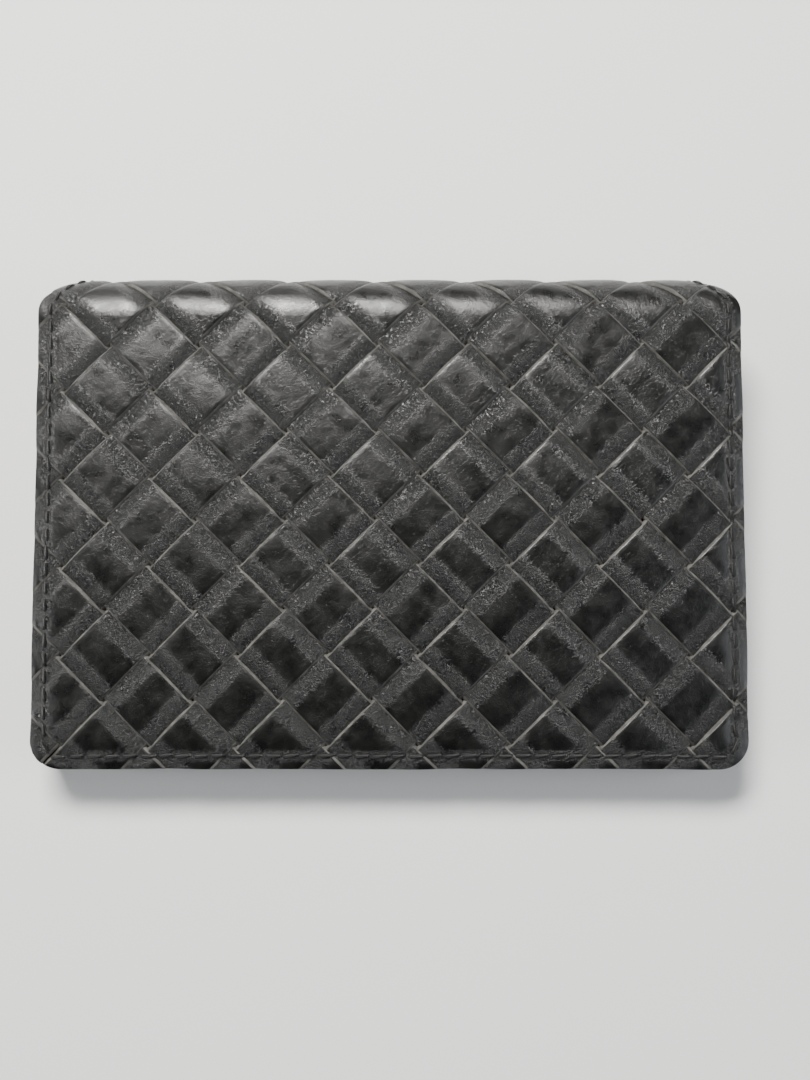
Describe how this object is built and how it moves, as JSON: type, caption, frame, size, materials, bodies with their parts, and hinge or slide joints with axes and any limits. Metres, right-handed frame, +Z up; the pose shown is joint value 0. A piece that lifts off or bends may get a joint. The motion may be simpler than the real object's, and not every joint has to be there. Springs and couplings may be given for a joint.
{
  "type": "business card case",
  "caption": "Fold-over business card case with woven leather covers, a rolled spine, a slip pocket and a gusseted card pocket.",
  "frame": {"origin": "centre of the closed case in plan, on the plane it rests on", "axes": "+X along the fold (width), +Y from the open edge to the fold, +Z up through the closed case, from the back cover to the front cover"},
  "size_m": [0.11, 0.078, 0.015],
  "materials": {
    "woven_leather": "smooth black nappa strips with a soft satin sheen",
    "lining_leather": "smooth matt black lining leather",
    "pocket_leather": "thin black pocket leather with folded or painted edges",
    "backing_sheet": "dark non-woven backing, glued and hidden",
    "thread": "waxed black polyester thread"
  },
  "bodies": {
    "back_cover": {"back_rising_strips": "woven_leather", "back_falling_strips": "woven_leather", "back_backing": "backing_sheet", "back_lining": "lining_leather", "fold_weave_back": "woven_leather", "fold_lining_back": "lining_leather", "pocket_bottom_band": "pocket_leather", "left_gusset_rear_flange": "pocket_leather", "right_gusset_rear_flange": "pocket_leather", "back_outer_stitches": "thread"},
    "fold_segment_1": {"fold_weave_1": "woven_leather", "fold_lining_1": "lining_leather"},
    "fold_segment_2": {"fold_weave_2": "woven_leather", "fold_lining_2": "lining_leather"},
    "fold_segment_3": {"fold_weave_3": "woven_leather", "fold_lining_3": "lining_leather"},
    "front_cover": {"front_rising_strips": "woven_leather", "front_falling_strips": "woven_leather", "front_backing": "backing_sheet", "front_lining": "lining_leather", "front_slip_pocket": "pocket_leather", "fold_weave_front": "woven_leather", "fold_lining_front": "lining_leather", "front_outer_stitches": "thread", "front_inner_stitches": "thread", "slip_pocket_mouth_stitches": "thread"},
    "pocket_front_panel": {"pocket_front": "pocket_leather", "pocket_front_lining": "lining_leather", "card_slot_panel": "pocket_leather", "left_gusset_front_flange": "pocket_leather", "right_gusset_front_flange": "pocket_leather", "pocket_side_stitches": "thread", "pocket_mouth_stitches": "thread", "card_slot_stitches": "thread"},
    "left_rear_leaf": {"left_gusset_rear_leaf": "pocket_leather"},
    "left_front_leaf": {"left_gusset_front_leaf": "pocket_leather"},
    "right_rear_leaf": {"right_gusset_rear_leaf": "pocket_leather"},
    "right_front_leaf": {"right_gusset_front_leaf": "pocket_leather"}
  },
  "joints": [
    {"name": "fold_hinge_1", "type": "hinge", "parent": "back_cover", "child": "fold_segment_1", "pos_m": [0, 0.03445, 0.0006], "axis": [-1, 0, 0], "range_deg": [0, 46.25]},
    {"name": "fold_hinge_2", "type": "hinge", "parent": "fold_segment_1", "child": "fold_segment_2", "pos_m": [0, 0.03852, 0.00486], "axis": [-1, 0, 0], "range_deg": [0, 46.25]},
    {"name": "fold_hinge_3", "type": "hinge", "parent": "fold_segment_2", "child": "fold_segment_3", "pos_m": [0, 0.03826, 0.01074], "axis": [-1, 0, 0], "range_deg": [0, 46.25]},
    {"name": "fold_hinge_4", "type": "hinge", "parent": "fold_segment_3", "child": "front_cover", "pos_m": [0, 0.03383, 0.01463], "axis": [-1, 0, 0], "range_deg": [0, 46.25]},
    {"name": "pocket_swing", "type": "hinge", "parent": "back_cover", "child": "pocket_front_panel", "pos_m": [0, -0.0361, 0.00295], "axis": [1, 0, 0], "range_deg": [0, 5]},
    {"name": "right_rear_leaf_fold", "type": "hinge", "parent": "back_cover", "child": "right_rear_leaf", "pos_m": [0.0515, -0.0361, 0.00295], "axis": [0, 1, 0], "range_deg": [0, 27.6]},
    {"name": "right_crease", "type": "hinge", "parent": "right_rear_leaf", "child": "right_front_leaf", "pos_m": [0.0515, -0.0361, 0.00295], "axis": [0.1046, -0.9936, -0.0434], "range_deg": [0, 55.3]},
    {"name": "left_rear_leaf_fold", "type": "hinge", "parent": "back_cover", "child": "left_rear_leaf", "pos_m": [-0.0515, -0.0361, 0.00295], "axis": [0, -1, 0], "range_deg": [0, 27.6]},
    {"name": "left_crease", "type": "hinge", "parent": "left_rear_leaf", "child": "left_front_leaf", "pos_m": [-0.0515, -0.0361, 0.00295], "axis": [0.1046, 0.9936, 0.0434], "range_deg": [0, 55.3]}
  ],
  "couplings": [
    {"joint": "fold_hinge_2", "follows": "fold_hinge_1", "ratio": 1},
    {"joint": "fold_hinge_3", "follows": "fold_hinge_1", "ratio": 1},
    {"joint": "fold_hinge_4", "follows": "fold_hinge_1", "ratio": 1},
    {"joint": "pocket_swing", "follows": "fold_hinge_1", "ratio": 0.10811},
    {"joint": "right_rear_leaf_fold", "follows": "fold_hinge_1", "ratio": 0.59675},
    {"joint": "right_crease", "follows": "fold_hinge_1", "ratio": 1.1957},
    {"joint": "left_rear_leaf_fold", "follows": "fold_hinge_1", "ratio": 0.59675},
    {"joint": "left_crease", "follows": "fold_hinge_1", "ratio": 1.1957}
  ]
}
